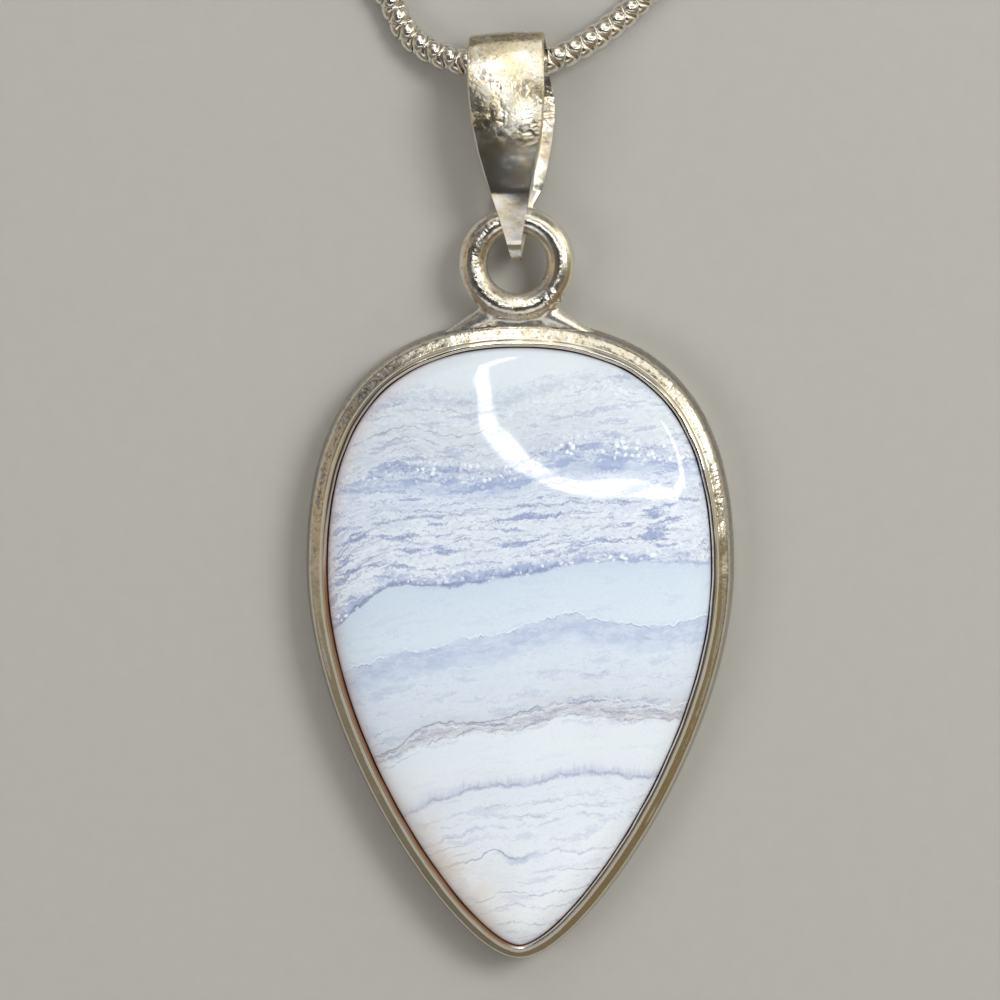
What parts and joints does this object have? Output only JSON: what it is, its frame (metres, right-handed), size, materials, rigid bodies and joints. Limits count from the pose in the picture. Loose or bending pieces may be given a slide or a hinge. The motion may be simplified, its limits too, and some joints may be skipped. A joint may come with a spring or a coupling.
{
  "type": "blue lace agate pendant",
  "caption": "Teardrop blue lace agate cabochon in a polished silver bezel, with hanging loop, folded bail and a coiled snake chain.",
  "frame": {"origin": "on the flat back of the back plate, in the middle of the stone's outline", "axes": "+X to the right of the pendant, +Y from the point of the stone towards the bail, +Z out of the stone's dome"},
  "size_m": [0.0367, 0.0872, 0.0053],
  "materials": {
    "agate": "polished banded chalcedony",
    "silver": "hand-polished silver with fine scratches",
    "bail_silver": "satin worn silver",
    "chain_silver": "bright silver"
  },
  "bodies": {
    "bail_and_chain": {"bail": "bail_silver", "chain": "chain_silver", "chain_coil": "chain_silver", "ring_end_cap": "chain_silver", "end_ring": "chain_silver", "hook_end_cap": "chain_silver", "hook": "chain_silver"},
    "pendant": {"agate": "agate", "bezel": "silver", "back_plate": "silver", "hanging_loop": "silver"}
  },
  "joints": [
    {"name": "loop_in_bail", "type": "hinge", "parent": "bail_and_chain", "child": "pendant", "pos_m": [-0.00015, 0.0252, 0.0024], "axis": [1, 0, 0], "range_deg": [-90, 90]}
  ]
}
